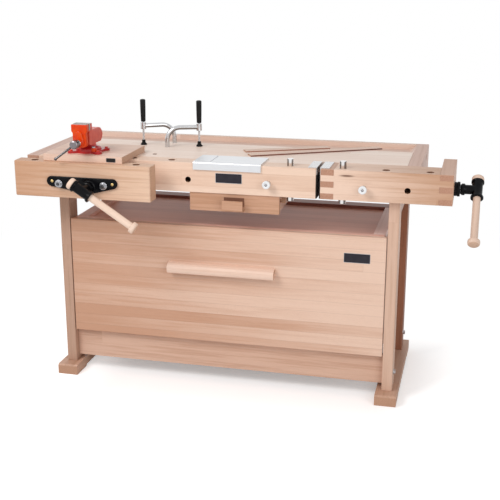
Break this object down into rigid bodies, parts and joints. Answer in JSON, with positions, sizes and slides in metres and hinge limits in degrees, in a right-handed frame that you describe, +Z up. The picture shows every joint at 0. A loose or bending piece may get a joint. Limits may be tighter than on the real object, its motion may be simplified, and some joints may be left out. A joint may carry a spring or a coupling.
{
  "type": "joiner's workbench with vises",
  "caption": "Beech joiner's bench with face vise, tail vise, bench-top metal vise, hold-downs, dogs, tool tray, till drawer and chest drawer on sled trestles.",
  "frame": {"origin": "on the floor under the middle of the bench's overall box", "axes": "+X to the right along the bench as the worker sees it from the front, +Y to the back, +Z up"},
  "size_m": [1.723, 0.8134, 1.0845],
  "materials": {
    "beech_block": "planed and oiled",
    "beech_board": "planed and oiled",
    "handle_beech": "turned and waxed",
    "jaw_lining": "glued lining",
    "bright_steel": "ground",
    "zinc_steel": "zinc plated",
    "black_casting": "enamelled",
    "dog_steel": "turned",
    "white_knob": "gloss",
    "plate_aluminium": "milled",
    "red_enamel": "gloss enamel",
    "tool_steel": "blackened",
    "chrome_arm": "polished",
    "grip_black": "satin coat",
    "pad_rubber": "moulded"
  },
  "bodies": {
    "bench": {"front_apron": "beech_block", "worktop_panel": "beech_board", "tool_tray": "beech_board", "rear_rim_board": "beech_board", "left_end_cap": "beech_block", "right_end_cap": "beech_block", "top_battens": "beech_block", "beam_jaw_plate": "bright_steel", "beam_jaw_lining": "jaw_lining", "left_legs": "beech_block", "right_legs": "beech_block", "trestle_feet": "beech_block", "trestle_bearers": "beech_block", "lower_rails": "beech_board", "hex_bolts": "zinc_steel", "chest_carcass": "beech_board", "chest_top_frame": "beech_board", "chest_top_panel": "beech_board", "drawer_runners": "beech_block", "vise_nuts": "black_casting", "bench_hook_plate": "plate_aluminium", "straightedges": "beech_board", "vise_board": "beech_board", "metal_vise_body": "red_enamel", "metal_vise_fixed_insert": "bright_steel"},
    "face_jaw": {"face_jaw": "beech_block", "face_vise_flange": "black_casting", "face_guide_rods": "zinc_steel"},
    "face_screw": {"face_screw": "black_casting"},
    "face_handle": {"face_handle": "handle_beech"},
    "tail_vise": {"tail_front_board": "beech_block", "tail_jaw_end": "beech_block", "tail_cheek": "beech_block", "tail_top_board": "beech_board", "tail_jaw_plate": "bright_steel", "tail_jaw_lining": "jaw_lining", "tail_vise_boss": "black_casting", "tail_guide_rod": "zinc_steel"},
    "tail_screw": {"tail_screw": "black_casting"},
    "tail_handle": {"tail_handle": "handle_beech"},
    "beam_dog": {"beam_dog": "dog_steel"},
    "tail_dog": {"tail_dog": "dog_steel"},
    "beam_side_peg": {"beam_side_peg": "white_knob"},
    "tail_side_peg": {"tail_side_peg": "white_knob"},
    "till": {"till_front": "beech_board", "till_box": "beech_board"},
    "chest_drawer": {"chest_drawer_front": "beech_board", "chest_drawer_box": "beech_board", "chest_drawer_grip": "beech_block"},
    "metal_jaw": {"metal_vise_jaw": "red_enamel", "metal_vise_moving_insert": "bright_steel"},
    "metal_spindle": {"metal_vise_spindle": "tool_steel"},
    "metal_bar": {"metal_vise_bar": "tool_steel"},
    "left_hold_arm": {"left_hold_arm": "chrome_arm"},
    "left_hold_pad": {"left_hold_pad": "pad_rubber"},
    "left_hold_screw": {"left_hold_screw": "grip_black"},
    "right_hold_arm": {"right_hold_arm": "chrome_arm"},
    "right_hold_pad": {"right_hold_pad": "pad_rubber"},
    "right_hold_screw": {"right_hold_screw": "grip_black"}
  },
  "joints": [
    {"name": "face_jaw_slide", "type": "slide", "parent": "bench", "child": "face_jaw", "axis": [0, -1, 0], "range_m": [0, 0.12]},
    {"name": "face_screw_spin", "type": "hinge", "parent": "face_jaw", "child": "face_screw", "pos_m": [-0.56, -0.38425, 0.814], "axis": [0, -1, 0], "range_deg": [0, 7200]},
    {"name": "face_handle_slide", "type": "slide", "parent": "face_screw", "child": "face_handle", "axis": [-0.8387, 0, 0.5446], "range_m": [0, 0.1824]},
    {"name": "tail_vise_slide", "type": "slide", "parent": "bench", "child": "tail_vise", "axis": [1, 0, 0], "range_m": [-0.008, 0.15]},
    {"name": "tail_screw_spin", "type": "hinge", "parent": "tail_vise", "child": "tail_screw", "pos_m": [0.8385, -0.09075, 0.83], "axis": [1, 0, 0], "range_deg": [-480, 9000]},
    {"name": "tail_handle_slide", "type": "slide", "parent": "tail_screw", "child": "tail_handle", "axis": [0, 0.766, 0.6428], "range_m": [0, 0.1824]},
    {"name": "beam_dog_slide", "type": "slide", "parent": "bench", "child": "beam_dog", "axis": [0, 0, 1], "range_m": [-0.029, 0.03]},
    {"name": "tail_dog_slide", "type": "slide", "parent": "tail_vise", "child": "tail_dog", "axis": [0, 0, 1], "range_m": [-0.029, 0.03]},
    {"name": "beam_side_peg_slide", "type": "slide", "parent": "bench", "child": "beam_side_peg", "axis": [0, -1, 0], "range_m": [-0.0115, 0.04]},
    {"name": "tail_side_peg_slide", "type": "slide", "parent": "tail_vise", "child": "tail_side_peg", "axis": [0, -1, 0], "range_m": [-0.0115, 0.04]},
    {"name": "till_slide", "type": "slide", "parent": "bench", "child": "till", "axis": [0, -1, 0], "range_m": [0, 0.25]},
    {"name": "chest_drawer_slide", "type": "slide", "parent": "bench", "child": "chest_drawer", "axis": [0, -1, 0], "range_m": [0, 0.4]},
    {"name": "metal_jaw_slide", "type": "slide", "parent": "bench", "child": "metal_jaw", "axis": [0, -1, 0], "range_m": [0, 0.048]},
    {"name": "metal_spindle_spin", "type": "hinge", "parent": "metal_jaw", "child": "metal_spindle", "pos_m": [-0.6005, -0.33425, 0.9753], "axis": [0, -1, 0], "range_deg": [0, 4320]},
    {"name": "metal_bar_slide", "type": "slide", "parent": "metal_spindle", "child": "metal_bar", "axis": [0.809, 0, 0.5878], "range_m": [0, 0.0734]},
    {"name": "left_hold_swivel", "type": "hinge", "parent": "bench", "child": "left_hold_arm", "pos_m": [-0.3875, 0.18925, 0.9], "axis": [0, 0, 1], "range_deg": [-100, 30]},
    {"name": "left_hold_pad_lift", "type": "slide", "parent": "left_hold_arm", "child": "left_hold_pad", "axis": [0, 0, 1], "range_m": [0, 0.02]},
    {"name": "left_hold_screw_spin", "type": "hinge", "parent": "left_hold_pad", "child": "left_hold_screw", "pos_m": [-0.4969, 0.12089, 0.978], "axis": [0, 0, 1], "range_deg": [0, 3600]},
    {"name": "right_hold_swivel", "type": "hinge", "parent": "bench", "child": "right_hold_arm", "pos_m": [-0.3875, 0.09325, 0.9], "axis": [0, 0, 1], "range_deg": [-90, 40]},
    {"name": "right_hold_pad_lift", "type": "slide", "parent": "right_hold_arm", "child": "right_hold_pad", "axis": [0, 0, 1], "range_m": [0, 0.02]},
    {"name": "right_hold_screw_spin", "type": "hinge", "parent": "right_hold_pad", "child": "right_hold_screw", "pos_m": [-0.26667, 0.13843, 0.978], "axis": [0, 0, 1], "range_deg": [0, 3600]}
  ],
  "couplings": [
    {"joint": "face_jaw_slide", "follows": "face_screw_spin", "m_per_rad": 0.00095493},
    {"joint": "tail_vise_slide", "follows": "tail_screw_spin", "m_per_rad": 0.00095493},
    {"joint": "metal_spindle_spin", "follows": "metal_jaw_slide", "rad_per_m": 1570.8},
    {"joint": "left_hold_screw_spin", "follows": "left_hold_pad_lift", "rad_per_m": 3141.6},
    {"joint": "right_hold_screw_spin", "follows": "right_hold_pad_lift", "rad_per_m": 3141.6}
  ]
}
